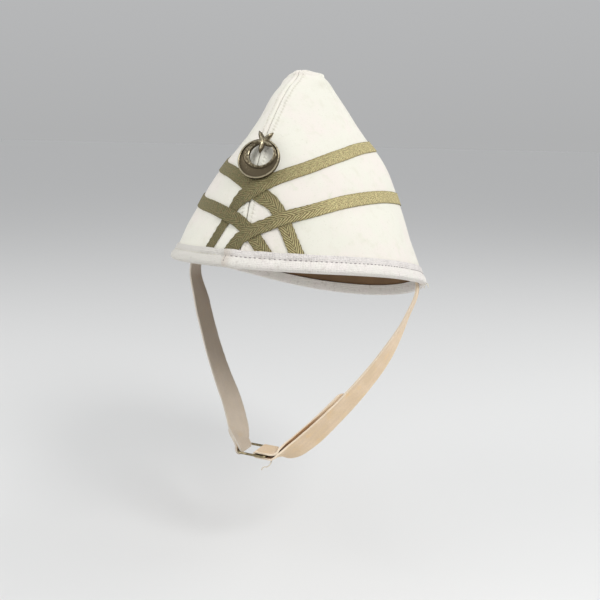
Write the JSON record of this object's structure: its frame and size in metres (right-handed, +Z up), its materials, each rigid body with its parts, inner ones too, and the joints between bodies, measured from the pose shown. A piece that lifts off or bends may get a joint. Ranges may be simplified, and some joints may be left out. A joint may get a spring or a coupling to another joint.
{
  "type": "kabalak cap with chin strap",
  "caption": "Tall pointed cloth sun cap with a seam over the top, crossed herringbone tapes, a crescent and star badge, a bound rim and a buckled chin strap.",
  "frame": {"origin": "middle of the head opening, level with the rim at the sides before the cap tilts back; it is where a head fills the cap", "axes": "+Z up as the cap is worn, tilted back 5.5 degrees; the badge and the front seam face -Y; the wearer's left is +X"},
  "size_m": [0.2122, 0.2379, 0.3186],
  "materials": {
    "ivory_cotton": "plain woven cotton, matt, a little fuzzy",
    "olive_tape": "herringbone woven tape, matt",
    "ribbed_binding": "ribbed woven tape, matt",
    "cream_webbing": "close woven webbing, slightly worn",
    "aged_brass": "cast brass, darkened with age",
    "brass_wire": "dull brass wire"
  },
  "bodies": {
    "root": {"crown_left": "ivory_cotton", "crown_right": "ivory_cotton", "tape_upper": "olive_tape", "tape_lower": "olive_tape", "rim_binding": "ribbed_binding", "badge": "aged_brass", "badge_post": "brass_wire", "chin_strap_left": "cream_webbing", "chin_strap_right": "cream_webbing", "buckle": "brass_wire"}
  },
  "joints": []
}
